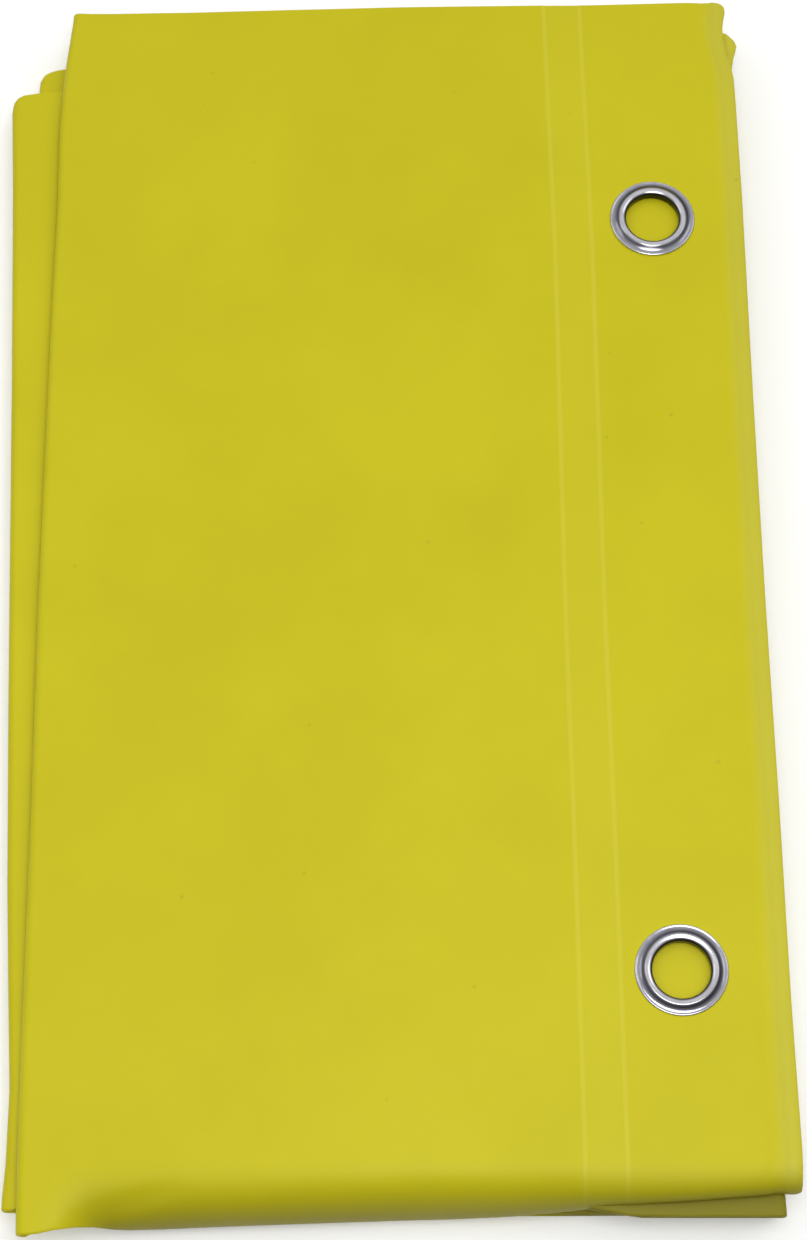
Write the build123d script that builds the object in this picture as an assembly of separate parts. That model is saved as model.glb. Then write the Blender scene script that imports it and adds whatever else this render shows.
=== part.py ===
from build123d import *
import os

# A welding curtain of heavy vinyl film, folded up for storage and lying flat.
# The film hangs from a hem with eyelets along its top edge. It is folded in three across its width,
# like the letter Z, and then like an accordion along its drop, so that the eyelet hem ends on top.
#
# Millimetres. X runs across the bundle, towards the hem. Y runs along the hem, from the near end,
# where the top panel is folded under, to the far end. Z is up. The origin is under the middle of
# the bundle.

# ---- the curtain, spread out ----
curtain_width = 1400.0        # along the eyelet hem
curtain_drop = 1800.0         # from the hem edge down
film_thickness = 0.4

# ---- the eyelet hem ----
hem_pocket = 58.0             # from the hem edge to the weld
weld_width = 14.5             # the band where the turned-over ply is welded down
hem_ply_gap = 0.05            # air between the film and the turned-over ply
eyelet_count = 5
eyelet_inset = 36.5           # from the hem edge to the eyelets' centres
first_eyelet = 97.0           # from the curtain's side edge to the first eyelet
last_eyelet = 103.0           # from the last eyelet to the curtain's other side edge

# ---- one eyelet, pressed through both plies ----
bore_diameter = 20.5
flange_diameter = 33.0
flange_height = 1.8
eyelet_wall = 0.5
crown_drop = 0.4              # how far above the film the crown turns into the bore
washer_diameter = 31.5
washer_thickness = 0.5
washer_clearance = 0.05       # between the washer and the barrel
hole_clearance = 0.1          # between the holes in the film and the barrel
roll_width = 2.6              # how far the barrel's end is rolled out over the washer
roll_height = 0.8             # how far that roll stands below the washer
bore_end_rise = 0.4           # the bore ends this far above the roll's lowest point

# ---- the three panels across the width ----
panel_count = 3
top_panel_extra = 15.3        # the panel with the first eyelet is this much longer than a third
panel_gap = 0.8               # air between the panels of one leaf
stack_clearance = 0.3         # between the eyelets' metal and the film that lies on it

# ---- the seven leaves along the drop ----
leaf_count = 7
leaf_gap = 0.4                # air between two leaves
hem_leaf_extra = 5.9          # the top leaf is this much wider than a seventh of the drop
left_fold_overhang = {3: 12.0, 5: 9.0}          # how far each lower left fold passes the top one
right_fold_setback = {2: 9.5, 4: 11.5, 6: 10.5}  # how far each right fold ends short of the hem edge

# ---- sizes that follow ----
half_film = film_thickness / 2
eyelet_pitch = (curtain_width - first_eyelet - last_eyelet) / (eyelet_count - 1)
panel_pitch = film_thickness + panel_gap
leaf_thickness = (panel_count - 1) * panel_pitch + film_thickness
leaf_pitch = leaf_thickness + leaf_gap
hem_thickness = 2 * film_thickness + hem_ply_gap
ply_offset = film_thickness + hem_ply_gap
back_height = washer_thickness + roll_height
bore_radius = bore_diameter / 2
barrel_radius = bore_radius + eyelet_wall
film_hole_radius = barrel_radius + hole_clearance
fold_radius = leaf_thickness + leaf_gap / 2

mean_panel = curtain_width / panel_count
top_panel = mean_panel + top_panel_extra
middle_panel = mean_panel
under_panel = curtain_width - top_panel - middle_panel

mean_leaf = curtain_drop / leaf_count
hem_leaf = mean_leaf + hem_leaf_extra

# Levels of the film's middle surface in the hem, from the under panel up. The top and the under panel
# lie face up, so that their turned-over ply is below the film. The middle panel lies face down.
hem_base = (leaf_count - 1) * leaf_pitch - leaf_gap + stack_clearance + back_height
hem_under_level = hem_base + ply_offset + half_film
hem_middle_level = hem_base + hem_thickness + flange_height + stack_clearance + half_film
hem_top_base = hem_middle_level - half_film + hem_thickness + back_height + stack_clearance
hem_top_level = hem_top_base + ply_offset + half_film
hem_levels = (hem_top_level, hem_middle_level, hem_under_level)

# Places across the bundle, from the top leaf's left fold, which is first taken as zero.
hem_edge_from_fold = hem_leaf
fold_from_top_fold = {1: 0.0}
for fold, overhang in left_fold_overhang.items():
    fold_from_top_fold[fold] = -overhang
for fold, setback in right_fold_setback.items():
    fold_from_top_fold[fold] = hem_edge_from_fold - setback
left_reach = min(fold_from_top_fold.values()) - fold_radius
right_reach = max(hem_edge_from_fold, max(fold_from_top_fold.values()) + fold_radius)
x_shift = -(left_reach + right_reach) / 2

# Along the bundle the near fold of the hem reaches nearest, and the top panel's cut edge farthest.
near_fold_reach = (hem_top_level - hem_middle_level) / 2 + half_film
y_shift = -(top_panel - near_fold_reach) / 2

hem_edge_x = hem_edge_from_fold + x_shift
hem_weld_x = hem_edge_x - hem_pocket - weld_width
eyelet_x = hem_edge_x - eyelet_inset
near_fold_y = y_shift
far_fold_y = near_fold_y + middle_panel
top_panel_end_y = near_fold_y + top_panel
under_panel_end_y = far_fold_y - under_panel


def fold_x(fold):
    return fold_from_top_fold[fold] + x_shift


def leaf_levels(leaf):
    """Levels of the top, middle and under panel in one leaf. Every other leaf lies upside down."""
    lowest = (leaf_count - leaf) * leaf_pitch + half_film
    levels = [lowest + panel * panel_pitch for panel in range(panel_count)]
    if leaf % 2 == 1:
        levels.reverse()
    return tuple(levels)


def z_fold(x, levels):
    """The cut through three panels folded like a Z, as a face across X."""
    top, middle, under = levels
    side = half_film if top > middle else -half_film
    near_radius = abs(top - middle) / 2
    far_radius = abs(middle - under) / 2
    near_middle = (top + middle) / 2
    far_middle = (middle + under) / 2

    def at(y, z):
        return (x, y, z)

    edges = [
        Edge.make_line(at(top_panel_end_y, top + side), at(near_fold_y, top + side)),
        Edge.make_three_point_arc(
            at(near_fold_y, top + side),
            at(near_fold_y - near_radius - half_film, near_middle),
            at(near_fold_y, middle - side),
        ),
        Edge.make_line(at(near_fold_y, middle - side), at(far_fold_y, middle - side)),
        Edge.make_three_point_arc(
            at(far_fold_y, middle - side),
            at(far_fold_y + far_radius - half_film, far_middle),
            at(far_fold_y, under + side),
        ),
        Edge.make_line(at(far_fold_y, under + side), at(under_panel_end_y, under + side)),
        Edge.make_line(at(under_panel_end_y, under + side), at(under_panel_end_y, under - side)),
        Edge.make_line(at(under_panel_end_y, under - side), at(far_fold_y, under - side)),
        Edge.make_three_point_arc(
            at(far_fold_y, under - side),
            at(far_fold_y + far_radius + half_film, far_middle),
            at(far_fold_y, middle + side),
        ),
        Edge.make_line(at(far_fold_y, middle + side), at(near_fold_y, middle + side)),
        Edge.make_three_point_arc(
            at(near_fold_y, middle + side),
            at(near_fold_y - near_radius + half_film, near_middle),
            at(near_fold_y, top - side),
        ),
        Edge.make_line(at(near_fold_y, top - side), at(top_panel_end_y, top - side)),
        Edge.make_line(at(top_panel_end_y, top - side), at(top_panel_end_y, top + side)),
    ]
    return Face(Wire(edges))


def eyelet_places():
    """For each eyelet: its Y, and which of the three panels it is on."""
    places = []
    for number in range(eyelet_count):
        along = first_eyelet + number * eyelet_pitch
        if along < top_panel:
            places.append((top_panel_end_y - along, 0))
        elif along < top_panel + middle_panel:
            places.append((near_fold_y + along - top_panel, 1))
        else:
            places.append((far_fold_y - (along - top_panel - middle_panel), 2))
    return places


def hem_face(panel):
    """The level of the film's face in the hem on one panel, and the way it looks: 1 up, -1 down."""
    looks = -1 if panel == 1 else 1
    return hem_levels[panel] + looks * half_film, looks


def place_on_panel(solid, y, panel):
    """Moves a solid modelled on the film's face, at the origin and looking up, to its place in the hem."""
    face_level, looks = hem_face(panel)
    if looks < 0:
        solid = solid.rotate(Axis.X, 180)
    return Pos(eyelet_x, y, face_level) * solid


def eyelet_holes(radius):
    """The cutters for the eyelets' holes, each through one panel of the hem."""
    depth = hem_thickness + film_thickness
    cutters = []
    for y, panel in eyelet_places():
        face_level, looks = hem_face(panel)
        middle = face_level - looks * hem_thickness / 2
        cutters.append(Pos(eyelet_x, y, middle) * Cylinder(radius, depth))
    return cutters


def plain_leaf(leaf):
    """One of the lower leaves: the Z fold between its two accordion folds, or to the bottom edge."""
    start = fold_x(leaf - 1)
    if leaf == leaf_count:
        end = bottom_edge_x()
    else:
        end = fold_x(leaf)
    section = z_fold(min(start, end), leaf_levels(leaf))
    return extrude(section, amount=abs(end - start), dir=(1, 0, 0))


def bottom_edge_x():
    """The bottom leaf takes what is left of the drop."""
    used = hem_leaf
    for leaf in range(2, leaf_count):
        used += abs(fold_x(leaf) - fold_x(leaf - 1))
    return fold_x(leaf_count - 1) - (curtain_drop - used)


def hem_leaf_film():
    """The top leaf. Its panels part from the fold to the weld, to make room for the eyelets."""
    at_fold = z_fold(fold_x(1), leaf_levels(1))
    at_weld = z_fold(hem_weld_x, hem_levels)
    film = loft([at_fold, at_weld], ruled=True)
    film += extrude(at_weld, amount=hem_edge_x - hem_weld_x, dir=(1, 0, 0))
    for cutter in eyelet_holes(film_hole_radius):
        film -= cutter
    return film


def hem_ply():
    """The film's edge, turned over to the back and welded down, with the eyelets' holes."""
    top, middle, under = hem_levels
    levels = (top - ply_offset, middle + ply_offset, under - ply_offset)
    ply = extrude(z_fold(hem_weld_x, levels), amount=hem_edge_x - hem_weld_x, dir=(1, 0, 0))
    for cutter in eyelet_holes(film_hole_radius):
        ply -= cutter
    return ply


def accordion_fold(fold):
    """The film where it turns from one leaf down into the next."""
    section = z_fold(fold_x(fold), leaf_levels(fold))
    level = (leaf_count - fold) * leaf_pitch - leaf_gap / 2
    turn = 180 if fold % 2 == 0 else -180
    return revolve(section, axis=Axis((fold_x(fold), 0, level), (0, 1, 0)), revolution_arc=turn)


def eyelet():
    """The domed flange, the barrel through both plies, and the barrel's end rolled over the washer."""
    flange_radius = flange_diameter / 2
    crown_radius = (flange_radius + bore_radius) / 2
    washer_level = -hem_thickness - washer_thickness
    lowest = washer_level - roll_height
    profile = [
        Edge.make_three_point_arc(
            (flange_radius, 0, 0), (crown_radius, 0, flange_height), (bore_radius, 0, crown_drop)
        ),
        Edge.make_line((bore_radius, 0, crown_drop), (bore_radius, 0, lowest + bore_end_rise)),
        Edge.make_three_point_arc(
            (bore_radius, 0, lowest + bore_end_rise),
            (barrel_radius + roll_width / 3, 0, lowest),
            (barrel_radius + roll_width, 0, washer_level),
        ),
        Edge.make_line((barrel_radius + roll_width, 0, washer_level), (barrel_radius, 0, washer_level)),
        Edge.make_line((barrel_radius, 0, washer_level), (barrel_radius, 0, 0)),
        Edge.make_line((barrel_radius, 0, 0), (flange_radius, 0, 0)),
    ]
    return revolve(Face(Wire(profile)), axis=Axis.Z)


def washer():
    """The flat ring between the turned-over ply and the eyelet's rolled end."""
    ring = Cylinder(washer_diameter / 2, washer_thickness)
    ring -= Cylinder(barrel_radius + washer_clearance, washer_thickness)
    outer_edge = ring.edges().filter_by(GeomType.CIRCLE).sort_by(SortBy.RADIUS)[-2:]
    ring = fillet(outer_edge, washer_thickness * 0.4)
    return Pos(0, 0, -hem_thickness - washer_thickness / 2) * ring


def write(shape, node):
    export_step(shape, f"parts/{node}.step")


os.makedirs("parts", exist_ok=True)
write(hem_leaf_film(), "curtain_leaf_1")
for leaf in range(2, leaf_count + 1):
    write(plain_leaf(leaf), f"curtain_leaf_{leaf}")
for fold in range(1, leaf_count):
    write(accordion_fold(fold), f"accordion_fold_{fold}")
write(hem_ply(), "hem_ply")
for number, (y, panel) in enumerate(eyelet_places(), start=1):
    write(place_on_panel(eyelet(), y, panel), f"eyelet_{number}")
    write(place_on_panel(washer(), y, panel), f"eyelet_washer_{number}")
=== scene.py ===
import bmesh
import bpy
import math
import numpy as np
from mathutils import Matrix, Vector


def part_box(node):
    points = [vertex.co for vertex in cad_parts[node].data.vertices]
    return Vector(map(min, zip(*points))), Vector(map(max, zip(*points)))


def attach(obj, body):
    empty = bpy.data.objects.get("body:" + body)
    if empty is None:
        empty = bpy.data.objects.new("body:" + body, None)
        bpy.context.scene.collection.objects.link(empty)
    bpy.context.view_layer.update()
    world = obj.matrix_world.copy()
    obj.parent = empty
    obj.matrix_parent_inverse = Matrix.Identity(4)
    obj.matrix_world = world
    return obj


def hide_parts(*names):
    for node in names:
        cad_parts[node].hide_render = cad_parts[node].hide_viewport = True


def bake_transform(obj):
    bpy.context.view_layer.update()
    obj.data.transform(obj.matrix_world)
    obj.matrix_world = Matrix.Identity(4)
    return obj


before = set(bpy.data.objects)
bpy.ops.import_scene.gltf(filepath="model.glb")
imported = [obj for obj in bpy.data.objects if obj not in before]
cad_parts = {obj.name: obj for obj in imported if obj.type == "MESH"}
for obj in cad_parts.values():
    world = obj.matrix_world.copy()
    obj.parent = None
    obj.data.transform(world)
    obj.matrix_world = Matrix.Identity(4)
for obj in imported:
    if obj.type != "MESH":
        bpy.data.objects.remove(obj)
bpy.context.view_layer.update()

# Folded welding curtain. Lengths are in millimetres until a mesh is made.
# x runs towards the eyelet hem, y along the hem towards the far end, z up.


def nodeBox(name):
    low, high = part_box(name)
    return np.array(low) * 1000, np.array(high) * 1000


def smooth(value, start, end):
    t = np.clip((np.asarray(value, float) - start) / (end - start), 0, 1)
    return t * t * (3 - 2 * t)


def table(pairs, at):
    keys, values = zip(*sorted(pairs))
    return np.interp(at, keys, values)


film = {
    "width": 1400.0,          # along the hem, before folding
    "thickness": 0.4,
    "panelStep": 1.2,         # between two panels of one leaf
    "pocket": 58.0,           # hem edge to the weld
    "weldWidth": 14.5,
    "plyStep": 0.45,          # film to turned-over ply
    "step": 6.0,              # mesh spacing along the flat parts
    "fineStep": 2.4,
    "fineReach": 17.0,        # round an eyelet
    "hiddenStep": 14.0,       # down the drop, in the leaves below the top one
    "cornerStep": 0.9,        # and finer yet where a corner is round
    "turnSteps": 7,
    "nearSteps": 44,
    "nearParts": (0.45, 0.60),    # of the near end: out along the top, around, then back
    "nearOutward": 20,        # this many of the near end's steps move with the top panel
    "foldSteps": 16,
    "foldRadius": 1.6,        # of an accordion fold
    "sharpEdge": 48,          # degrees
    "holeReach": 11.3,        # the film is cut away inside this, under the eyelets
    "seamIn": 1.5,            # flat film a fold strip takes from the leaf above it
    "seamOut": 20.0,          # and from the leaf below it
}

leafBox = {leaf: nodeBox(f"curtain_leaf_{leaf}") for leaf in range(1, 8)}
plyBox = nodeBox("hem_ply")
hemEdge, hemWeld = plyBox[1][0], plyBox[0][0]
foldX = {k: leafBox[k + 1][0 if k % 2 else 1][0] for k in range(1, 7)}
bottomEdge = leafBox[7][0][0]
midZ = {k: (leafBox[k][0][2] + leafBox[k][1][2]) / 2 for k in range(2, 8)}
midZ[1] = leafBox[1][0][2] + film["panelStep"] + film["thickness"] / 2
farCut = leafBox[4][1][1]
nearTurn = leafBox[4][0][1] + film["panelStep"] / 2 + film["thickness"] / 2
farTurn = nearTurn + film["width"] / 3
underEnd = farTurn - (film["width"] - (farCut - nearTurn) - film["width"] / 3)
roll = {
    "inside": 19.0,           # where the top leaf starts to round over the near end
    "fade": (-117.0, -89.0),  # the left corner stays flat up to here, and rolls fully from there
    # where the painted shade on the top leaf's rolled near end fades in, from the left
    "shadeFade": (-114.0, -92.0),
    "roundness": 2.05,        # 2 is an ellipse, more is squarer
    "gap": 1.7,               # between the two panels that roll over
    "gapShare": 0.7,
}
rollStart = nearTurn + roll["inside"]

panelNames = ("top", "middle", "under")
eyelets = []
for number in range(1, 6):
    low, high = nodeBox(f"eyelet_{number}")
    washerLow, washerHigh = nodeBox(f"eyelet_washer_{number}")
    looksUp = washerLow[2] + washerHigh[2] < low[2] + high[2]
    panel = ("top", "top", "middle", "under", "under")[number - 1]
    eyelets.append({"x": (low[0] + high[0]) / 2, "y": (low[1] + high[1]) / 2,
                    "low": low[2], "high": high[2], "up": looksUp, "panel": panel})
print("frame read: 7 leaves, 6 folds,", len(eyelets), "eyelets")


lie = {
    # side to side, at each fold and at the hem, for places along y
    "foldX": {
        1: [(-246, 1.6), (-218, 0.6), (-166, -0.3), (-93, -1.2), (-16, -2.6), (45, -3.1),
            (109, -3.6), (153, -3.5), (190, -4.3), (213, -3.4), (240, -0.9)],
        2: [(-240, 5.0), (-200, 3.6), (-110, 0.0), (240, -2.0)],
        3: [(-236, 7.2), (-225, 7.8), (-197, 7.8), (-165, 5.8), (-120, 3.0), (-48, -0.5),
            (75, -5.9), (164, -10.2), (200, -12.4), (204, -12.0),
            (206.0, -11.0), (207.2, -9.0), (208.0, -3.0), (208.8, 9.0), (211, 12.0), (241, 13.0)],
        4: [(-240, 6.6), (-200, 5.0), (-110, 0.0), (240, -3.0)],
        5: [(-236, 6.0), (-100, 2.5), (60, -0.8), (214, -6.0), (218.5, -5.8), (221, -4.6),
            (222.6, -2.4), (223.4, 2.0), (224.2, 8.0), (241, 9.0)],
        6: [(-240, 5.4), (-200, 4.4), (-110, 0.0), (240, -2.0)],
    },
    "hemTopX": [(-246, 1.6), (-218, 2.0), (-166, 1.0), (-93, 0.5), (-16, -0.5), (66, -1.0), (153, -1.2),
                (199, -1.8), (212, -2.2), (219, -4.2), (226, -5.4), (233, -5.6), (240, -4.2), (243, -4.6)],
    "hemLowerX": [(-246, -1.0), (190, -3.0), (214, -2.4), (221, -1.0), (225, 0.2), (228, -1.0)],
    "weldX": [(-240, 0.9), (-218, 0.8), (-112, -0.1), (-16, -1.5), (131, -2.1), (222, -4.2), (241, -4.6)],
    # lengthwise, at the far cut edge and at the near end
    "farTop": [(-131, 1.2), (-118, 0.6), (-76, 0.5), (-36, 1.2), (4, 1.6), (44, 1.5), (85, 1.6),
               (126, 2.6), (131, 2.8), (135, 2.6), (138, 1.6), (140, -1.0)],
    "farLower": [(-140, 0.2), (112, 0.2), (122, 2.6), (133, 4.4), (136, 3.8), (140.5, -0.4)],
    "nearFold": {1: -4.6, 2: 2.2, 3: 4.6, 4: 4.0, 5: 5.6, 6: 5.2},
    "setback": {2: 12.0, 3: 10.0, 4: 8.0, 5: 6.5, 6: 5.5, 7: 5.0},
    # the near end of the top leaf: how far out it reaches, and how low its skin hangs
    "skinReach": [(-124, -245.0), (-118, -243.4), (-104, -242.2), (-64, -240.4), (4, -238.0), (40, -237.2),
                  (74, -235.2), (105, -233.5), (126, -231.9), (142, -231.0)],
    "skinLow": [(-120, 14.0), (-100, 9.0), (-76, 6.5), (20, 6.5), (50, 10.0), (78, 17.2), (100, 19.7),
                (142, 20.4)],
    # how far the hem's three plies stand above the leaf's own middle
    "hemSpread": {"top": 5.85, "middle": 2.95, "under": 0.45},
    "hemEase": 0.35,
    "dent": {"from": (-106.0, -239.0), "slope": (0.933, 0.359), "aside": 2.2, "width": 2.8, "depth": 1.7,
             "fadeIn": (-9, 1), "fadeOut": (14, 42)},
    "roundCorners": ((206.5, 6.5), (222, 7)),      # place and reach, at the lower layers' far left corners
}


def runOf(start, end, fineAt=(), step=None, cornersAt=()):
    # fineAt are places with fine spacing round them, cornersAt are (place, reach) with finer still
    step = step or film["step"]
    direction = 1 if end > start else -1
    places = [start]
    while abs(end - places[-1]) > 0.01:
        y = places[-1]
        near = any(abs(y - place) < film["fineReach"] + step for place in fineAt)
        corner = any(abs(y - place) < reach for place, reach in cornersAt)
        y += direction * (film["cornerStep"] if corner else film["fineStep"] if near else step)
        if (end - y) * direction < film["fineStep"] * 0.6:
            y = end
        places.append(y)
    return places


def zStations():
    # (part, value): y on a panel, 0..1 through a turn
    stations = []
    onPanel = {name: [e["y"] for e in eyelets if e["panel"] == name] for name in panelNames}
    corners = lie["roundCorners"]
    fineOnTop = onPanel["top"] + [farCut - 3]
    stations += [("top", y) for y in runOf(farCut, rollStart, fineOnTop, cornersAt=corners)]
    stations += [("near", q) for q in np.linspace(0, 1, film["nearSteps"])[1:-1]]
    stations += [("middle", y) for y in runOf(rollStart, farTurn, onPanel["middle"], cornersAt=corners)]
    stations += [("far", q) for q in np.linspace(0, 1, film["turnSteps"] + 2)[1:-1]]
    stations += [("under", y) for y in runOf(farTurn, underEnd, onPanel["under"], cornersAt=corners)]
    return stations


stations = zStations()
stationPart = np.array([part for part, value in stations])
print("stations along the hem:", len(stations))


def plainNearEnd(value, top, middle):
    # flat out along the top panel, round a half circle, and back along the middle one
    out, around = film["nearParts"]
    if value < out:
        return rollStart + (nearTurn - rollStart) * (value / out), top
    if value < around:
        angle = math.pi * (value - out) / (around - out)
        radius = (top - middle) / 2
        return nearTurn - radius * math.sin(angle), (top + middle) / 2 + radius * math.cos(angle)
    return nearTurn + (rollStart - nearTurn) * (value - around) / (1 - around), middle


def rolledNearEnd(value, top, middle, x):
    # the same stations where the end is rolled down: a squarish quarter ellipse out and back
    out, around = film["nearParts"]
    reach = table(lie["skinReach"], x)
    low = table(lie["skinLow"], x) - midZ[1]
    gap = min(roll["gap"], (top - middle) * roll["gapShare"])
    depth = rollStart - reach
    if out <= value < around:
        angle = math.pi * (value - out) / (around - out)
        return reach + gap / 2 * (1 - math.cos(angle)), low - gap / 2 * math.sin(angle)
    outward = value < out
    angle = math.pi / 2 * (value / out if outward else 1 - (value - around) / (1 - around))
    across = math.sin(angle) ** (2 / roll["roundness"])
    down = math.cos(angle) ** (2 / roll["roundness"])
    height = top if outward else middle
    return rollStart - (depth if outward else depth - gap) * across, low + (height - low) * down


def zPath(offsets, x=None):
    # the three panels' path in (y, n), with n along the way the curtain's face looks
    # x is given on the top leaf only, whose near end rolls over
    top, middle, under = offsets
    flat = {"top": top, "middle": middle, "under": under}
    farMid, farRadius = (middle + under) / 2, (middle - under) / 2
    share = float(smooth(x, *roll["fade"])) if x is not None else 0.0
    ys, ns = [], []
    for part, value in stations:
        if part in flat:
            y, n = value, flat[part]
        elif part == "far":
            angle = math.pi * value
            y, n = farTurn + farRadius * math.sin(angle), farMid + farRadius * math.cos(angle)
        else:
            y, n = plainNearEnd(value, top, middle)
            if share > 0:
                rolledY, rolledN = rolledNearEnd(value, top, middle, x)
                y, n = y + (rolledY - y) * share, n + (rolledN - n) * share
        ys.append(y)
        ns.append(n)
    return np.array(ys), np.array(ns)


def faceNormals(ys, ns):
    dy, dn = np.gradient(ys), np.gradient(ns)
    length = np.hypot(dy, dn)
    length[length < 1e-9] = 1
    return dn / length, -dy / length


def leafStation(leaf, x, lift=0.0, drop=None):
    up = 1 if leaf % 2 else -1
    return {"leaf": leaf, "x": x, "cx": x, "cz": midZ[leaf], "nx": 0.0, "nz": float(up), "lift": lift,
            "drop": drop if drop is not None else hemEdge - x}


def foldStation(fold, turn):
    # turn runs 0..1 from the upper leaf to the lower one
    angle = math.pi * turn
    side = -1 if fold % 2 else 1
    radius = (midZ[fold] - midZ[fold + 1]) / 2
    cz = (midZ[fold] + midZ[fold + 1]) / 2 + radius * math.cos(angle)
    cx = foldX[fold] + side * radius * math.sin(angle)
    outward = 1 if fold % 2 else -1
    return {"leaf": fold, "fold": fold, "x": foldX[fold], "cx": cx, "cz": cz,
            "nx": outward * side * math.sin(angle), "nz": outward * math.cos(angle),
            "lift": 0.0, "drop": 500.0}


def panelOffsets(station):
    step = film["panelStep"]
    plain = np.array([step, 0.0, -step])
    if station["leaf"] != 1 or "fold" in station:
        return plain
    spread = np.array([lie["hemSpread"][name] for name in panelNames])
    share = float(np.clip((station["x"] - foldX[1]) / (hemWeld - foldX[1]), 0, 1))
    eased = share * share * (3 - 2 * share)
    share = eased * lie["hemEase"] + share * (1 - lie["hemEase"])
    return plain + (spread - plain) * share


def columnShift(station, ys, isTop):
    # side to side shift at this place across the bundle
    def atFold(fold):
        return table(lie["foldX"][fold], ys)

    if "fold" in station:
        return atFold(station["fold"])
    leaf, x = station["leaf"], station["x"]
    if leaf > 1:
        start, end = foldX[leaf - 1], foldX[leaf] if leaf < 7 else bottomEdge
        share = (x - start) / (end - start)
        other = atFold(leaf) if leaf < 7 else np.zeros_like(ys)
        return atFold(leaf - 1) * (1 - share) + other * share
    atHem = np.where(isTop, table(lie["hemTopX"], ys), table(lie["hemLowerX"], ys))
    atWeld = table(lie["weldX"], ys)
    pastWeld = smooth(x, hemWeld + film["weldWidth"], hemEdge)
    toWeld = np.clip((x - foldX[1]) / (hemWeld - foldX[1]), 0, 1)
    inside = atFold(1) * (1 - toWeld) + atWeld * toWeld
    return inside * (1 - pastWeld) + (atHem if x > hemWeld else inside) * pastWeld


def lengthShift(station, ys, part, xs):
    # the far edge isn't square, and the near ends are staggered
    nearShare = smooth(-ys, 150.0, -nearTurn - 2)
    farShare = smooth(ys, 60.0, farTurn)
    farTop = table(lie["farTop"], xs)
    farLower = table(lie["farLower"], xs) if station["leaf"] == 1 else 0.2
    far = np.where(np.isin(part, ["top"]), farTop, farLower)
    leaf = station["leaf"]
    if "fold" in station:
        near = lie["nearFold"][station["fold"]]
    elif leaf == 1:
        near = lie["nearFold"][1] * (1 - smooth(station["x"], foldX[1], foldX[1] + 24))
    else:
        left, right = (leaf - 1, leaf) if leaf % 2 == 0 else (leaf, leaf - 1)
        atLeft = lie["nearFold"].get(left, 3.0)
        leftX = foldX.get(left, bottomEdge)
        toMiddle = float(smooth(station["x"], leftX, leftX + 13))
        toRight = float(smooth(station["x"], 34, 84))
        near = atLeft * (1 - toMiddle) + lie["setback"][leaf] * toMiddle
        near = near * (1 - toRight) + lie["nearFold"][right] * toRight
    return far * farShare + near * nearShare


def topWaves(xs, ys):
    # slow waves and marks that heavy film keeps, on the top panel
    wave = 0.16 * np.sin(xs / 31 + 0.6) * np.sin(ys / 74 + 1.1)
    wave += 0.11 * np.sin(xs / 17 - ys / 120 + 2.0) + 0.10 * np.sin(ys / 39 + xs / 90)
    wave += 0.16 * np.exp(-((xs + 112) / 5) ** 2) * (0.6 + 0.4 * np.sin(ys / 60))
    corner = np.exp(-(((xs - 131.5) + (ys - 236) * 0.5) / 2.2) ** 2 - ((ys - 236) / 7) ** 2)
    return wave * smooth(xs, -123, -108) - 0.8 * corner


def cornerDent(xs, ys):
    # the dent beside the near left corner, through all three panels of the top leaf
    dent = lie["dent"]
    (startX, startY), (cosine, sine) = dent["from"], dent["slope"]
    along = (xs - startX) * cosine + (ys - startY) * sine
    aside = (ys - startY) * cosine - (xs - startX) * sine
    line = np.exp(-((aside + dent["aside"]) / dent["width"]) ** 2)
    return dent["depth"] * line * smooth(along, *dent["fadeIn"]) * (1 - smooth(along, *dent["fadeOut"]))


def paintedShade(station, ys, xs):
    # painted shade amount: 1 where the top leaf rolls over the near end, up to 1.25 on the lower leaves'
    # near ends towards the right
    if station["leaf"] == 1 and "fold" not in station:
        outward = film["nearParts"][0]
        out = np.array([min(value / outward, 1) if part == "near" else 0 for part, value in stations])
        return smooth(out, 0.02, 0.95) * smooth(station["x"], *roll["shadeFade"])
    # painted shade on the near ends of the lower leaves and folds, towards the right
    return 1.25 * smooth(-ys, 212, 230) * smooth(xs, 30, 66)


def filmRow(station):
    # one line of the film along the hem: x, y, z and its painted shade amount
    offsets = panelOffsets(station)
    onTopLeaf = station["leaf"] == 1 and "fold" not in station
    ys, ns = zPath(offsets, station["x"] if onTopLeaf else None)
    if station["lift"]:
        ny, nn = faceNormals(ys, ns)
        ys, ns = ys + ny * station["lift"], ns + nn * station["lift"]
    part = stationPart
    outwardEnd = np.argmax(part == "near") + film["nearOutward"]
    isTop = (part == "top") | ((part == "near") & (np.arange(len(part)) < outwardEnd))
    xs = station["cx"] + ns * station["nx"]
    zs = station["cz"] + ns * station["nz"]
    shiftX = columnShift(station, ys, isTop)
    shiftY = lengthShift(station, ys, part, xs)
    if onTopLeaf:
        zs = zs + topWaves(xs, ys) * isTop - cornerDent(xs, ys)
    return np.stack([xs + shiftX, ys + shiftY, zs, paintedShade(station, ys, xs)], axis=1)


def inPocket(row):
    return row["leaf"] == 1 and "fold" not in row and row["x"] > hemWeld


def overBore(corners, panel):
    # true where a face would close an eyelet's hole
    for e in eyelets:
        reach = np.hypot(corners[:, 0] - e["x"], corners[:, 1] - e["y"])
        if panel == e["panel"] and reach.min() < film["holeReach"]:
            return True
    return False


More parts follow.
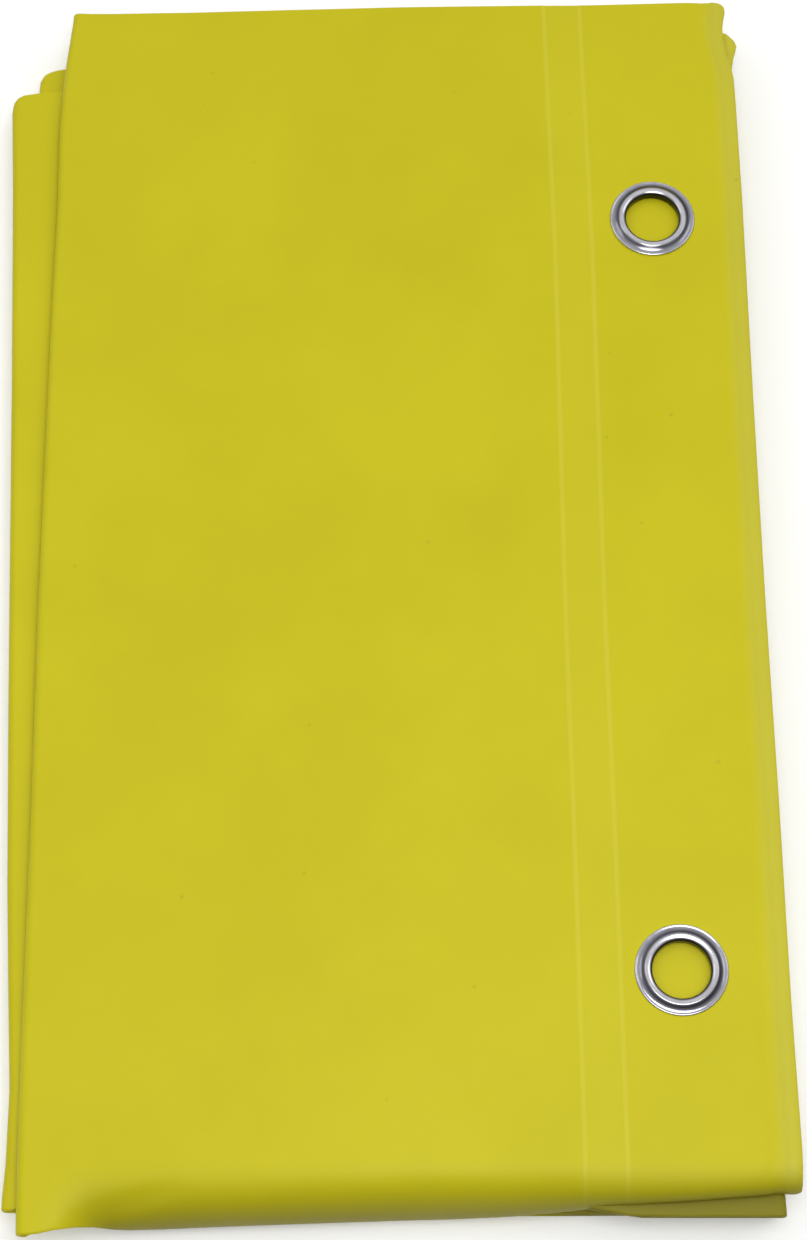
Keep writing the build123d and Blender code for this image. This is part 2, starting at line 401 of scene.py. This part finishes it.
def filmObject(name, rows, material):
    points = [filmRow(station) for station in rows]
    across, along = len(rows), len(stations)
    flat = np.concatenate(points)[:, :3]
    # the painted shade amount of each point, kept as a mesh attribute for the material
    clear = np.concatenate(points)[:, 3]
    s = np.concatenate([[0], np.cumsum(np.hypot(*(np.diff(points[0][:, 1:3], axis=0).T)))])
    faces, uvs = [], []
    for i in range(across - 1):
        for j in range(along - 1):
            corner = [i * along + j, i * along + j + 1, (i + 1) * along + j + 1, (i + 1) * along + j]
            if inPocket(rows[i]) and overBore(flat[corner], stationPart[j]):
                continue
            faces.append(corner)
            uvs += [(s[j], rows[i]["drop"]), (s[j + 1], rows[i]["drop"]),
                    (s[j + 1], rows[i + 1]["drop"]), (s[j], rows[i + 1]["drop"])]
    mesh = bpy.data.meshes.new(name)
    mesh.from_pydata((flat / 1000).tolist(), [], faces)
    mesh.attributes.new("paintedShade", "FLOAT", "POINT").data.foreach_set("value", clear)
    layer = mesh.uv_layers.new(name="filmMap")
    layer.data.foreach_set("uv", (np.array(uvs) / 1000).ravel())
    mesh.shade_smooth()
    thin = bpy.data.objects.new(name + "Thin", mesh)
    bpy.context.collection.objects.link(thin)
    skin = thin.modifiers.new("thickness", "SOLIDIFY")
    skin.thickness = film["thickness"] / 1000
    skin.offset = 0
    depsgraph = bpy.context.evaluated_depsgraph_get()
    solid = bpy.data.meshes.new_from_object(thin.evaluated_get(depsgraph), depsgraph=depsgraph)
    bpy.data.objects.remove(thin)
    bpy.data.meshes.remove(mesh)
    solid.name = name
    solid.validate()
    solid.set_sharp_from_angle(angle=math.radians(film["sharpEdge"]))
    solid.materials.clear()
    solid.materials.append(material)
    piece = bpy.data.objects.new(name, solid)
    bpy.context.collection.objects.link(piece)
    return piece


def nodeMaterial(name):
    material = bpy.data.materials.new(name)
    material.use_nodes = True
    nodes = material.node_tree.nodes
    nodes.clear()
    output = nodes.new("ShaderNodeOutputMaterial")
    shader = nodes.new("ShaderNodeBsdfPrincipled")
    material.node_tree.links.new(shader.outputs["BSDF"], output.inputs["Surface"])
    return material, nodes, material.node_tree.links, shader


vinyl = {
    "deep": (0.545, 0.487, 0.003, 1),
    "light": (0.578, 0.517, 0.005, 1),
    "paintedShadeTone": (0.22, 0.196, 0.004, 1),     # painted shade colour, for the rolled near end and the lower layers' near ends
    "weld": (0.66, 0.61, 0.06, 1),
    "paintedShadeShare": 0.85,
    "bandShare": 0.06,
    "lineShare": 0.34,
    # painted sheen: a greyer tint along the rolled hem edge
    "hemEdgeSheen": (0.50, 0.49, 0.11, 1),
    "hemEdgeSheenShare": 0.24,
    "roughness": (0.42, 0.54),
    "specular": 0.20,
    "grain": 1900.0,
    "mottle": 16.0,
    "rubbed": 38.0,
    "ripple": 60.0,
    "dust": (0.24, 0.21, 0.03, 1),
    "dustScale": 42.0,
    "dustSize": (0.045, 0.02),
    "dustShare": 0.22,
    "hemFrom": (0.0095, 0.0040),              # metres down the drop from the hem edge
    "lineWidth": (0.0012, 0.0003),
}


def vinylFilm():
    material, nodes, links, shader = nodeMaterial("yellowVinylFilm")
    place = nodes.new("ShaderNodeTexCoord")
    mottle = nodes.new("ShaderNodeTexNoise")
    mottle.inputs["Scale"].default_value = vinyl["mottle"]
    mottle.inputs["Detail"].default_value = 4
    mottle.inputs["Roughness"].default_value = 0.55
    links.new(place.outputs["Object"], mottle.inputs["Vector"])
    tint = nodes.new("ShaderNodeValToRGB")
    tint.color_ramp.elements[0].position = 0.36
    tint.color_ramp.elements[0].color = vinyl["deep"]
    tint.color_ramp.elements[1].position = 0.66
    tint.color_ramp.elements[1].color = vinyl["light"]
    links.new(mottle.outputs["Fac"], tint.inputs["Fac"])

    # the welded band is a touch paler, with a crisp line on both sides, and the hem edge has a greyer
    # painted sheen
    flatPlace = nodes.new("ShaderNodeUVMap")
    flatPlace.uv_map = "filmMap"
    split = nodes.new("ShaderNodeSeparateXYZ")
    links.new(flatPlace.outputs["UV"], split.inputs["Vector"])
    away = nodes.new("ShaderNodeMath")
    away.operation = "SUBTRACT"
    away.inputs[1].default_value = (film["pocket"] + film["weldWidth"] / 2) / 1000
    links.new(split.outputs["Y"], away.inputs[0])
    distance = nodes.new("ShaderNodeMath")
    distance.operation = "ABSOLUTE"
    links.new(away.outputs[0], distance.inputs[0])
    band = nodes.new("ShaderNodeMapRange")
    band.interpolation_type = "SMOOTHSTEP"
    band.inputs["From Min"].default_value = film["weldWidth"] / 2000 + 0.0006
    band.inputs["From Max"].default_value = film["weldWidth"] / 2000 - 0.0012
    links.new(distance.outputs[0], band.inputs["Value"])
    line = nodes.new("ShaderNodeMapRange")
    line.interpolation_type = "SMOOTHSTEP"
    line.inputs["From Min"].default_value = vinyl["lineWidth"][0]
    line.inputs["From Max"].default_value = vinyl["lineWidth"][1]
    toLine = nodes.new("ShaderNodeMath")
    toLine.operation = "SUBTRACT"
    toLine.inputs[1].default_value = film["weldWidth"] / 2000
    links.new(distance.outputs[0], toLine.inputs[0])
    lineAway = nodes.new("ShaderNodeMath")
    lineAway.operation = "ABSOLUTE"
    links.new(toLine.outputs[0], lineAway.inputs[0])
    links.new(lineAway.outputs[0], line.inputs["Value"])
    paleShare = nodes.new("ShaderNodeMath")
    paleShare.operation = "MULTIPLY_ADD"
    paleShare.inputs[1].default_value = vinyl["bandShare"]
    links.new(band.outputs["Result"], paleShare.inputs[0])
    lineShare = nodes.new("ShaderNodeMath")
    lineShare.operation = "MULTIPLY"
    lineShare.inputs[1].default_value = vinyl["lineShare"]
    links.new(line.outputs["Result"], lineShare.inputs[0])
    links.new(lineShare.outputs[0], paleShare.inputs[2])
    welded = nodes.new("ShaderNodeMix")
    welded.data_type = "RGBA"
    links.new(paleShare.outputs[0], welded.inputs["Factor"])
    links.new(tint.outputs["Color"], welded.inputs[6])
    welded.inputs[7].default_value = vinyl["weld"]

    # painted shade: darker on the top leaf's rolled near end and on the lower layers' near ends
    shadeAmount = nodes.new("ShaderNodeAttribute")
    shadeAmount.attribute_name = "paintedShade"
    shadeAmountShare = nodes.new("ShaderNodeMath")
    shadeAmountShare.operation = "MULTIPLY"
    shadeAmountShare.inputs[1].default_value = vinyl["paintedShadeShare"]
    links.new(shadeAmount.outputs["Fac"], shadeAmountShare.inputs[0])
    paintedShadeTone = nodes.new("ShaderNodeMix")
    paintedShadeTone.data_type = "RGBA"
    paintedShadeTone.inputs[7].default_value = vinyl["paintedShadeTone"]
    links.new(shadeAmountShare.outputs[0], paintedShadeTone.inputs["Factor"])
    # painted sheen, greyer towards the hem edge
    sheenNearHem = nodes.new("ShaderNodeMapRange")
    sheenNearHem.interpolation_type = "SMOOTHSTEP"
    sheenNearHem.inputs["From Min"].default_value = vinyl["hemFrom"][0]
    sheenNearHem.inputs["From Max"].default_value = vinyl["hemFrom"][1]
    sheenNearHem.inputs["To Max"].default_value = vinyl["hemEdgeSheenShare"]
    links.new(split.outputs["Y"], sheenNearHem.inputs["Value"])
    withHemSheen = nodes.new("ShaderNodeMix")
    withHemSheen.data_type = "RGBA"
    withHemSheen.inputs[7].default_value = vinyl["hemEdgeSheen"]
    links.new(sheenNearHem.outputs["Result"], withHemSheen.inputs["Factor"])
    links.new(welded.outputs[2], withHemSheen.inputs[6])
    links.new(withHemSheen.outputs[2], paintedShadeTone.inputs[6])

    # here and there a speck of workshop dust
    specks = nodes.new("ShaderNodeTexVoronoi")
    specks.inputs["Scale"].default_value = vinyl["dustScale"]
    links.new(place.outputs["Object"], specks.inputs["Vector"])
    speck = nodes.new("ShaderNodeMapRange")
    speck.inputs["From Min"].default_value = vinyl["dustSize"][0]
    speck.inputs["From Max"].default_value = vinyl["dustSize"][1]
    speck.inputs["To Max"].default_value = vinyl["dustShare"]
    links.new(specks.outputs["Distance"], speck.inputs["Value"])
    dusty = nodes.new("ShaderNodeMix")
    dusty.data_type = "RGBA"
    dusty.inputs[7].default_value = vinyl["dust"]
    links.new(speck.outputs["Result"], dusty.inputs["Factor"])
    links.new(paintedShadeTone.outputs[2], dusty.inputs[6])
    links.new(dusty.outputs[2], shader.inputs["Base Color"])

    # satin, not even: rubbed a little smoother in patches
    patches = nodes.new("ShaderNodeTexNoise")
    patches.inputs["Scale"].default_value = vinyl["rubbed"]
    patches.inputs["Detail"].default_value = 5
    links.new(place.outputs["Object"], patches.inputs["Vector"])
    sheen = nodes.new("ShaderNodeMapRange")
    sheen.inputs["To Min"].default_value = vinyl["roughness"][0]
    sheen.inputs["To Max"].default_value = vinyl["roughness"][1]
    links.new(patches.outputs["Fac"], sheen.inputs["Value"])
    links.new(sheen.outputs["Result"], shader.inputs["Roughness"])
    shader.inputs["Specular IOR Level"].default_value = vinyl["specular"]

    # fine pressed grain
    grain = nodes.new("ShaderNodeTexNoise")
    grain.inputs["Scale"].default_value = vinyl["grain"]
    grain.inputs["Detail"].default_value = 3
    links.new(place.outputs["Object"], grain.inputs["Vector"])
    slow = nodes.new("ShaderNodeTexNoise")
    slow.inputs["Scale"].default_value = vinyl["ripple"]
    slow.inputs["Detail"].default_value = 3
    links.new(place.outputs["Object"], slow.inputs["Vector"])
    slowBump = nodes.new("ShaderNodeBump")
    slowBump.inputs["Strength"].default_value = 0.35
    slowBump.inputs["Distance"].default_value = 0.0004
    links.new(slow.outputs["Fac"], slowBump.inputs["Height"])
    grainBump = nodes.new("ShaderNodeBump")
    grainBump.inputs["Strength"].default_value = 0.22
    grainBump.inputs["Distance"].default_value = 0.00008
    links.new(grain.outputs["Fac"], grainBump.inputs["Height"])
    links.new(slowBump.outputs["Normal"], grainBump.inputs["Normal"])
    links.new(grainBump.outputs["Normal"], shader.inputs["Normal"])
    return material


nickel = {
    "bright": (0.84, 0.83, 0.86, 1),
    "dull": (0.70, 0.69, 0.73, 1),
    "roughness": (0.12, 0.20),
    "washerRoughness": (0.2, 0.36),
    "radii": (0.0100, 0.0170),                # the span of the painted light tones below, in metres
    # painted shade and highlights: dark in the bore and in the groove, bright on the crown and the outer
    # rim
    "paintedLightTones": ((0.04, (0.05, 0.05, 0.05, 1)), (0.13, (0.30, 0.30, 0.31, 1)), (0.22, (0.74, 0.74, 0.75, 1)),
              (0.36, (0.60, 0.60, 0.62, 1)), (0.50, (0.15, 0.15, 0.17, 1)), (0.66, (0.30, 0.30, 0.33, 1)),
              (0.84, (0.50, 0.50, 0.54, 1)), (0.92, (0.90, 0.90, 0.92, 1))),
}


def polishedNickel(name, roughness, paintRingLight=False):
    material, nodes, links, shader = nodeMaterial(name)
    place = nodes.new("ShaderNodeTexCoord")
    cloud = nodes.new("ShaderNodeTexNoise")
    cloud.inputs["Scale"].default_value = 220
    cloud.inputs["Detail"].default_value = 6
    links.new(place.outputs["Object"], cloud.inputs["Vector"])
    tone = nodes.new("ShaderNodeValToRGB")
    tone.color_ramp.elements[0].position = 0.3
    tone.color_ramp.elements[0].color = nickel["dull"]
    tone.color_ramp.elements[1].position = 0.62
    tone.color_ramp.elements[1].color = nickel["bright"]
    links.new(cloud.outputs["Fac"], tone.inputs["Fac"])
    links.new(tone.outputs["Color"], shader.inputs["Base Color"])
    # painted shade and highlights on the eyelet, by radius, multiplied into the metal's colour
    if paintRingLight:
        radius = nodes.new("ShaderNodeAttribute")
        radius.attribute_name = "ringRadius"
        span = nodes.new("ShaderNodeMapRange")
        span.inputs["From Min"].default_value = nickel["radii"][0]
        span.inputs["From Max"].default_value = nickel["radii"][1]
        links.new(radius.outputs["Fac"], span.inputs["Value"])
        rings = nodes.new("ShaderNodeValToRGB")
        while len(rings.color_ramp.elements) < len(nickel["paintedLightTones"]):
            rings.color_ramp.elements.new(0.5)
        for element, (position, colour) in zip(rings.color_ramp.elements, nickel["paintedLightTones"]):
            element.position = position
            element.color = colour
        links.new(span.outputs["Result"], rings.inputs["Fac"])
        ringPaintedLight = nodes.new("ShaderNodeMix")
        ringPaintedLight.data_type = "RGBA"
        ringPaintedLight.blend_type = "MULTIPLY"
        ringPaintedLight.inputs["Factor"].default_value = 1
        links.new(tone.outputs["Color"], ringPaintedLight.inputs[6])
        links.new(rings.outputs["Color"], ringPaintedLight.inputs[7])
        links.new(ringPaintedLight.outputs[2], shader.inputs["Base Color"])
    rubbed = nodes.new("ShaderNodeMapRange")
    rubbed.inputs["To Min"].default_value = roughness[0]
    rubbed.inputs["To Max"].default_value = roughness[1]
    links.new(cloud.outputs["Fac"], rubbed.inputs["Value"])
    links.new(rubbed.outputs["Result"], shader.inputs["Roughness"])
    shader.inputs["Metallic"].default_value = 1.0
    scratches = nodes.new("ShaderNodeTexNoise")
    scratches.inputs["Scale"].default_value = 900
    scratches.inputs["Detail"].default_value = 4
    links.new(place.outputs["Object"], scratches.inputs["Vector"])
    bump = nodes.new("ShaderNodeBump")
    bump.inputs["Strength"].default_value = 0.006
    bump.inputs["Distance"].default_value = 0.0001
    links.new(scratches.outputs["Fac"], bump.inputs["Height"])
    links.new(bump.outputs["Normal"], shader.inputs["Normal"])
    return material


filmMaterial = vinylFilm()
ringMaterial = polishedNickel("polishedNickelRing", nickel["roughness"], paintRingLight=True)
washerMaterial = polishedNickel("nickelWasher", nickel["washerRoughness"])
print("materials made")


hem = {
    "step": 4.0,
    "beadWidth": 7.0,         # the soft rolled edge, where the film turns back
    "beadLift": 0.55,
    "valley": (0.80, 2.3),    # depth and width of the hollow beside it
    "weldSink": 0.16,
    "weldStep": 0.7,          # how fast the film sinks into the weld
    "weldMiddle": 7.2,        # from the near side of the weld
}


def leafRows(leaf):
    start = hemEdge if leaf == 1 else foldX[leaf - 1]
    end = bottomEdge if leaf == 7 else foldX[leaf]
    direction = 1 if end > start else -1
    first = start if leaf == 1 else start + direction * film["seamOut"]
    last = end if leaf == 7 else end - direction * film["seamIn"]
    if leaf > 1:
        return [leafStation(leaf, x) for x in runOf(first, last, step=film["hiddenStep"])]
    rows = []
    beadWidth, beadLift = hem["beadWidth"], hem["beadLift"]
    weldNear = hemEdge - film["pocket"]
    eyeletX = eyelets[0]["x"]
    for x in runOf(hemWeld, hemEdge - beadWidth, (eyeletX,), step=hem["step"]):    # turned-over ply
        rows.append(leafStation(1, x, lift=-film["plyStep"], drop=hemEdge - x))
    bead = np.linspace(0, math.pi, 13)
    for angle in bead[1:-1]:                          # soft rolled hem edge
        inside = beadWidth * (1 - math.sin(angle) ** 0.8)
        spread = (film["plyStep"] / 2 + beadLift * math.sin(2 * min(angle, math.pi - angle)) ** 2)
        lift = -film["plyStep"] / 2 - math.cos(angle) * spread
        rows.append(leafStation(1, hemEdge - inside, lift=lift, drop=inside))
    depth, width = hem["valley"]
    for x in runOf(hemEdge - beadWidth, weldNear, (eyeletX,), step=hem["step"]):
        edge = hemEdge - beadWidth - x
        rows.append(leafStation(1, x, lift=-depth * math.exp(-(edge / width) ** 2)))
    weldPlaces = [weldNear - hem["weldStep"], weldNear - hem["step"], weldNear - hem["weldMiddle"],
                  hemWeld + hem["step"], hemWeld + hem["weldStep"]]
    for x in weldPlaces:
        rows.append(leafStation(1, x, lift=-hem["weldSink"]))
    rows.append(leafStation(1, hemWeld))
    for x in runOf(hemWeld, last)[1:]:
        rows.append(leafStation(1, x))
    return rows


def foldRows(fold):
    side = -1 if fold % 2 else 1
    rows = [leafStation(fold, foldX[fold] - side * film["seamIn"], drop=500.0)]
    rows += [foldStation(fold, turn) for turn in np.linspace(0, 1, film["foldSteps"])]
    for away in (2.5, 8.0, 14.0, film["seamOut"]):
        rows.append(leafStation(fold + 1, foldX[fold] - side * away, drop=500.0))
    return rows


for leaf in range(1, 8):
    rows = leafRows(leaf)
    piece = filmObject(f"filmLeaf{leaf}", rows, filmMaterial)
    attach(piece, f"leaf_{leaf}")
    if leaf == 1:
        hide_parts("curtain_leaf_1", "hem_ply")
    else:
        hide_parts(f"curtain_leaf_{leaf}")

for fold in range(1, 7):
    piece = filmObject(f"filmFold{fold}", foldRows(fold), filmMaterial)
    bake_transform(piece)
    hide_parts(f"accordion_fold_{fold}")


ring = {
    "bore": 10.25,
    "flange": 16.5,
    "height": 1.8,
    "crown": 12.7,
    "lipDrop": 0.4,
    "backRoll": 13.3,
    "turns": 112,
    "profileSteps": 110,
}


def ringProfile():
    # one eyelet cut through: radius and height above the film, as a closed line
    line = []
    for step in range(11):                            # rounded outer rim
        angle = math.pi * step / 10 * 0.72
        line.append((ring["flange"] - 0.55 + 0.55 * math.cos(angle), 0.1 + 0.62 * math.sin(angle)))
    foot = line[-1]
    for step in range(1, 15):                         # shallow groove, then up to the crown
        t = step / 14
        rise = t ** 2.1 * (3 - 2 * t) / (3 - 2 * t ** 0.5)
        height = foot[1] + (ring["height"] - foot[1]) * min(rise, 1)
        line.append((foot[0] + (ring["crown"] - foot[0]) * t, height))
    for step in range(1, 17):                         # crown into the bore
        angle = math.pi / 2 * step / 16
        line.append((ring["crown"] - (ring["crown"] - ring["bore"]) * math.sin(angle) ** 0.9,
                     ring["lipDrop"] + (ring["height"] - ring["lipDrop"]) * math.cos(angle) ** 0.9))
    depth = -2.15
    line += [(ring["bore"], -0.6), (ring["bore"], depth + 0.4)]
    for step in range(1, 9):                          # rolled over the washer
        angle = math.pi * step / 8
        middle, half = (ring["bore"] + ring["backRoll"]) / 2, (ring["backRoll"] - ring["bore"]) / 2
        height = depth + 0.4 - 0.4 * math.sin(angle) + 0.35 * step / 8
        line.append((middle - half * math.cos(angle), height))
    line += [(ring["bore"] + 0.5, -1.35), (ring["bore"] + 0.5, 0.0), (ring["flange"] - 0.05, 0.0)]
    line.append(line[0])
    return line


def eyeletTree():
    tree = bpy.data.node_groups.new("pressedEyelets", "GeometryNodeTree")
    sockets = tree.interface
    sockets.new_socket("Places", in_out="INPUT", socket_type="NodeSocketGeometry")
    sockets.new_socket("Section", in_out="INPUT", socket_type="NodeSocketObject")
    sockets.new_socket("Turns", in_out="INPUT", socket_type="NodeSocketInt")
    sockets.new_socket("Section Steps", in_out="INPUT", socket_type="NodeSocketInt")
    sockets.new_socket("Finish", in_out="INPUT", socket_type="NodeSocketMaterial")
    sockets.new_socket("Rings", in_out="OUTPUT", socket_type="NodeSocketGeometry")
    nodes, links = tree.nodes, tree.links
    given = nodes.new("NodeGroupInput")
    made = nodes.new("NodeGroupOutput")

    section = nodes.new("GeometryNodeObjectInfo")
    links.new(given.outputs["Section"], section.inputs["Object"])
    grid = nodes.new("GeometryNodeMeshGrid")
    grid.inputs["Size X"].default_value = 1
    grid.inputs["Size Y"].default_value = 1
    links.new(given.outputs["Turns"], grid.inputs["Vertices X"])
    links.new(given.outputs["Section Steps"], grid.inputs["Vertices Y"])
    place = nodes.new("GeometryNodeInputPosition")
    split = nodes.new("ShaderNodeSeparateXYZ")
    links.new(place.outputs["Position"], split.inputs["Vector"])
    along = nodes.new("ShaderNodeMath")
    along.operation = "ADD"
    along.inputs[1].default_value = 0.5
    links.new(split.outputs["Y"], along.inputs[0])
    sample = nodes.new("GeometryNodeSampleCurve")
    sample.mode = "FACTOR"
    sample.use_all_curves = True
    links.new(section.outputs["Geometry"], sample.inputs["Curves"])
    links.new(along.outputs[0], sample.inputs["Factor"])
    onSection = nodes.new("ShaderNodeSeparateXYZ")
    links.new(sample.outputs["Position"], onSection.inputs["Vector"])
    angle = nodes.new("ShaderNodeMath")
    angle.operation = "MULTIPLY"
    angle.inputs[1].default_value = 2 * math.pi
    links.new(split.outputs["X"], angle.inputs[0])
    parts = []
    for operation in ("COSINE", "SINE"):
        wave = nodes.new("ShaderNodeMath")
        wave.operation = operation
        links.new(angle.outputs[0], wave.inputs[0])
        radius = nodes.new("ShaderNodeMath")
        radius.operation = "MULTIPLY"
        links.new(wave.outputs[0], radius.inputs[0])
        links.new(onSection.outputs["X"], radius.inputs[1])
        parts.append(radius)
    turned = nodes.new("ShaderNodeCombineXYZ")
    links.new(parts[0].outputs[0], turned.inputs["X"])
    links.new(parts[1].outputs[0], turned.inputs["Y"])
    links.new(onSection.outputs["Y"], turned.inputs["Z"])
    marked = nodes.new("GeometryNodeStoreNamedAttribute")
    marked.inputs["Name"].default_value = "ringRadius"
    links.new(grid.outputs["Mesh"], marked.inputs["Geometry"])
    links.new(onSection.outputs["X"], marked.inputs["Value"])
    spun = nodes.new("GeometryNodeSetPosition")
    links.new(marked.outputs["Geometry"], spun.inputs["Geometry"])
    links.new(turned.outputs["Vector"], spun.inputs["Position"])
    closed = nodes.new("GeometryNodeMergeByDistance")
    closed.inputs["Distance"].default_value = 0.000004
    links.new(spun.outputs["Geometry"], closed.inputs["Geometry"])
    smoothed = nodes.new("GeometryNodeSetShadeSmooth")
    links.new(closed.outputs["Geometry"], smoothed.inputs["Geometry"])

    flip = nodes.new("GeometryNodeInputNamedAttribute")
    flip.data_type = "FLOAT_VECTOR"
    flip.inputs["Name"].default_value = "lieOver"
    copies = nodes.new("GeometryNodeInstanceOnPoints")
    links.new(given.outputs["Places"], copies.inputs["Points"])
    links.new(smoothed.outputs["Geometry"], copies.inputs["Instance"])
    links.new(flip.outputs["Attribute"], copies.inputs["Rotation"])
    real = nodes.new("GeometryNodeRealizeInstances")
    links.new(copies.outputs["Instances"], real.inputs["Geometry"])
    finished = nodes.new("GeometryNodeSetMaterial")
    links.new(real.outputs["Geometry"], finished.inputs["Geometry"])
    links.new(given.outputs["Finish"], finished.inputs["Material"])
    links.new(finished.outputs["Geometry"], made.inputs["Rings"])
    return tree


def socketId(tree, name):
    for item in tree.interface.items_tree:
        if item.item_type == "SOCKET" and item.in_out == "INPUT" and item.name == name:
            return item.identifier
    raise KeyError(name)


def makeEyelets():
    curve = bpy.data.curves.new("eyeletSection", "CURVE")
    curve.dimensions = "3D"
    line = ringProfile()
    spline = curve.splines.new("POLY")
    spline.points.add(len(line) - 1)
    for point, (radius, height) in zip(spline.points, line):
        point.co = (radius / 1000, height / 1000, 0, 1)
    section = bpy.data.objects.new("eyeletSection", curve)
    bpy.context.collection.objects.link(section)

    places, turns = [], []
    for e in eyelets:
        face = e["high"] - ring["height"] if e["up"] else e["low"] + ring["height"]
        places.append((e["x"] / 1000, e["y"] / 1000, face / 1000))
        turns.append((0 if e["up"] else math.pi, 0, 0))
    points = bpy.data.meshes.new("eyeletPlaces")
    points.from_pydata(places, [], [])
    attribute = points.attributes.new("lieOver", "FLOAT_VECTOR", "POINT")
    attribute.data.foreach_set("vector", np.array(turns, float).ravel())
    seed = bpy.data.objects.new("eyeletPlaces", points)
    bpy.context.collection.objects.link(seed)
    tree = eyeletTree()
    modifier = seed.modifiers.new("pressed", "NODES")
    modifier.node_group = tree
    modifier[socketId(tree, "Section")] = section
    modifier[socketId(tree, "Turns")] = ring["turns"] + 1
    modifier[socketId(tree, "Section Steps")] = ring["profileSteps"] + 1
    modifier[socketId(tree, "Finish")] = ringMaterial
    bpy.context.view_layer.update()
    depsgraph = bpy.context.evaluated_depsgraph_get()
    mesh = bpy.data.meshes.new_from_object(seed.evaluated_get(depsgraph), depsgraph=depsgraph)
    seed.modifiers.clear()
    bpy.data.objects.remove(seed)
    bpy.data.objects.remove(section)
    mesh.name = "nickelEyelets"
    rings = bpy.data.objects.new("nickelEyelets", mesh)
    bpy.context.collection.objects.link(rings)
    return rings


rings = makeEyelets()
work = bmesh.new()
work.from_mesh(rings.data)
bmesh.ops.recalc_face_normals(work, faces=work.faces)
work.to_mesh(rings.data)
work.free()
rings.data.set_sharp_from_angle(angle=math.radians(60))
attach(rings, "leaf_1")
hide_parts(*[f"eyelet_{number}" for number in range(1, 6)])
for number in range(1, 6):
    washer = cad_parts[f"eyelet_washer_{number}"]
    washer.data.materials.clear()
    washer.data.materials.append(washerMaterial)
print("eyelets made:", len(rings.data.polygons), "faces")


studio = {
    "floorSize": 24.0,
    "cameraAt": (0.0057, -0.4006, 0.9572),
    "tilt": 22.05,
    "lens": 79.6,
    "skyTowards": (0, 0.34, 0.94),
    "skyDim": 0.02,
    "skyBright": 0.95,
    "skySpan": (0.05, 0.97),
    "sideEnergy": 11.0,
    "overEnergy": 7.0,
    "floorTone": 0.84,
    "floorGlow": 0.20,
}

bpy.ops.mesh.primitive_plane_add(size=studio["floorSize"], location=(0, 0, -0.0002))
floor = bpy.context.object
floor.name = "studioFloor"
floorMaterial, floorNodes, floorLinks, floorShader = nodeMaterial("paleFloor")
floorShader.inputs["Base Color"].default_value = (studio["floorTone"],) * 3 + (1,)
floorShader.inputs["Roughness"].default_value = 0.9
floorShader.inputs["Specular IOR Level"].default_value = 0.1
floorShader.inputs["Emission Color"].default_value = (1, 1, 1, 1)
floorShader.inputs["Emission Strength"].default_value = studio["floorGlow"]
floor.data.materials.append(floorMaterial)

world = bpy.data.worlds.new("studioWorld")
bpy.context.scene.world = world
world.use_nodes = True
sky, skyLinks = world.node_tree.nodes, world.node_tree.links
skyPlace = sky.new("ShaderNodeTexCoord")                # bright overhead, dim towards the viewer's side
skyTurn = sky.new("ShaderNodeVectorMath")
skyTurn.operation = "DOT_PRODUCT"
skyTurn.inputs[1].default_value = studio["skyTowards"]
skyLinks.new(skyPlace.outputs["Generated"], skyTurn.inputs[0])
skyRange = sky.new("ShaderNodeMapRange")
skyRange.interpolation_type = "SMOOTHSTEP"
skyRange.inputs["From Min"].default_value = studio["skySpan"][0]
skyRange.inputs["From Max"].default_value = studio["skySpan"][1]
skyRange.inputs["To Min"].default_value = studio["skyDim"]
skyRange.inputs["To Max"].default_value = studio["skyBright"]
skyLinks.new(skyTurn.outputs["Value"], skyRange.inputs["Value"])
skyLinks.new(skyRange.outputs["Result"], sky["Background"].inputs["Strength"])
sky["Background"].inputs["Color"].default_value = (1, 1, 1, 1)


def softLight(name, place, aim, size, energy):
    light = bpy.data.lights.new(name, "AREA")
    light.shape = "DISK"
    light.size = size
    light.energy = energy
    lamp = bpy.data.objects.new(name, light)
    lamp.location = place
    direction = np.array(aim) - np.array(place)
    lamp.rotation_euler = (math.atan2(math.hypot(direction[0], direction[1]), -direction[2]), 0,
                           math.atan2(direction[0], direction[1]) * -1)
    bpy.context.collection.objects.link(lamp)
    return lamp


softLight("leftSoftbox", (-2.7, 1.15, 3.4), (0, 0, 0), 2.0, studio["sideEnergy"])
softLight("rightSoftbox", (2.7, 1.15, 3.4), (0, 0, 0), 2.0, studio["sideEnergy"])
softLight("overSoftbox", (0.1, -0.34, 1.35), (0, -0.1, 0), 0.75, studio["overEnergy"])

camera = bpy.data.objects.new("camera", bpy.data.cameras.new("camera"))
bpy.context.collection.objects.link(camera)
camera.location = studio["cameraAt"]
camera.rotation_euler = (math.radians(studio["tilt"]), 0, 0)
camera.data.lens = studio["lens"]
camera.data.sensor_width = 36
camera.data.sensor_fit = "AUTO"
camera.data.clip_start = 0.02
bpy.context.scene.camera = camera
bpy.context.scene.view_settings.view_transform = "Standard"
print("studio set")
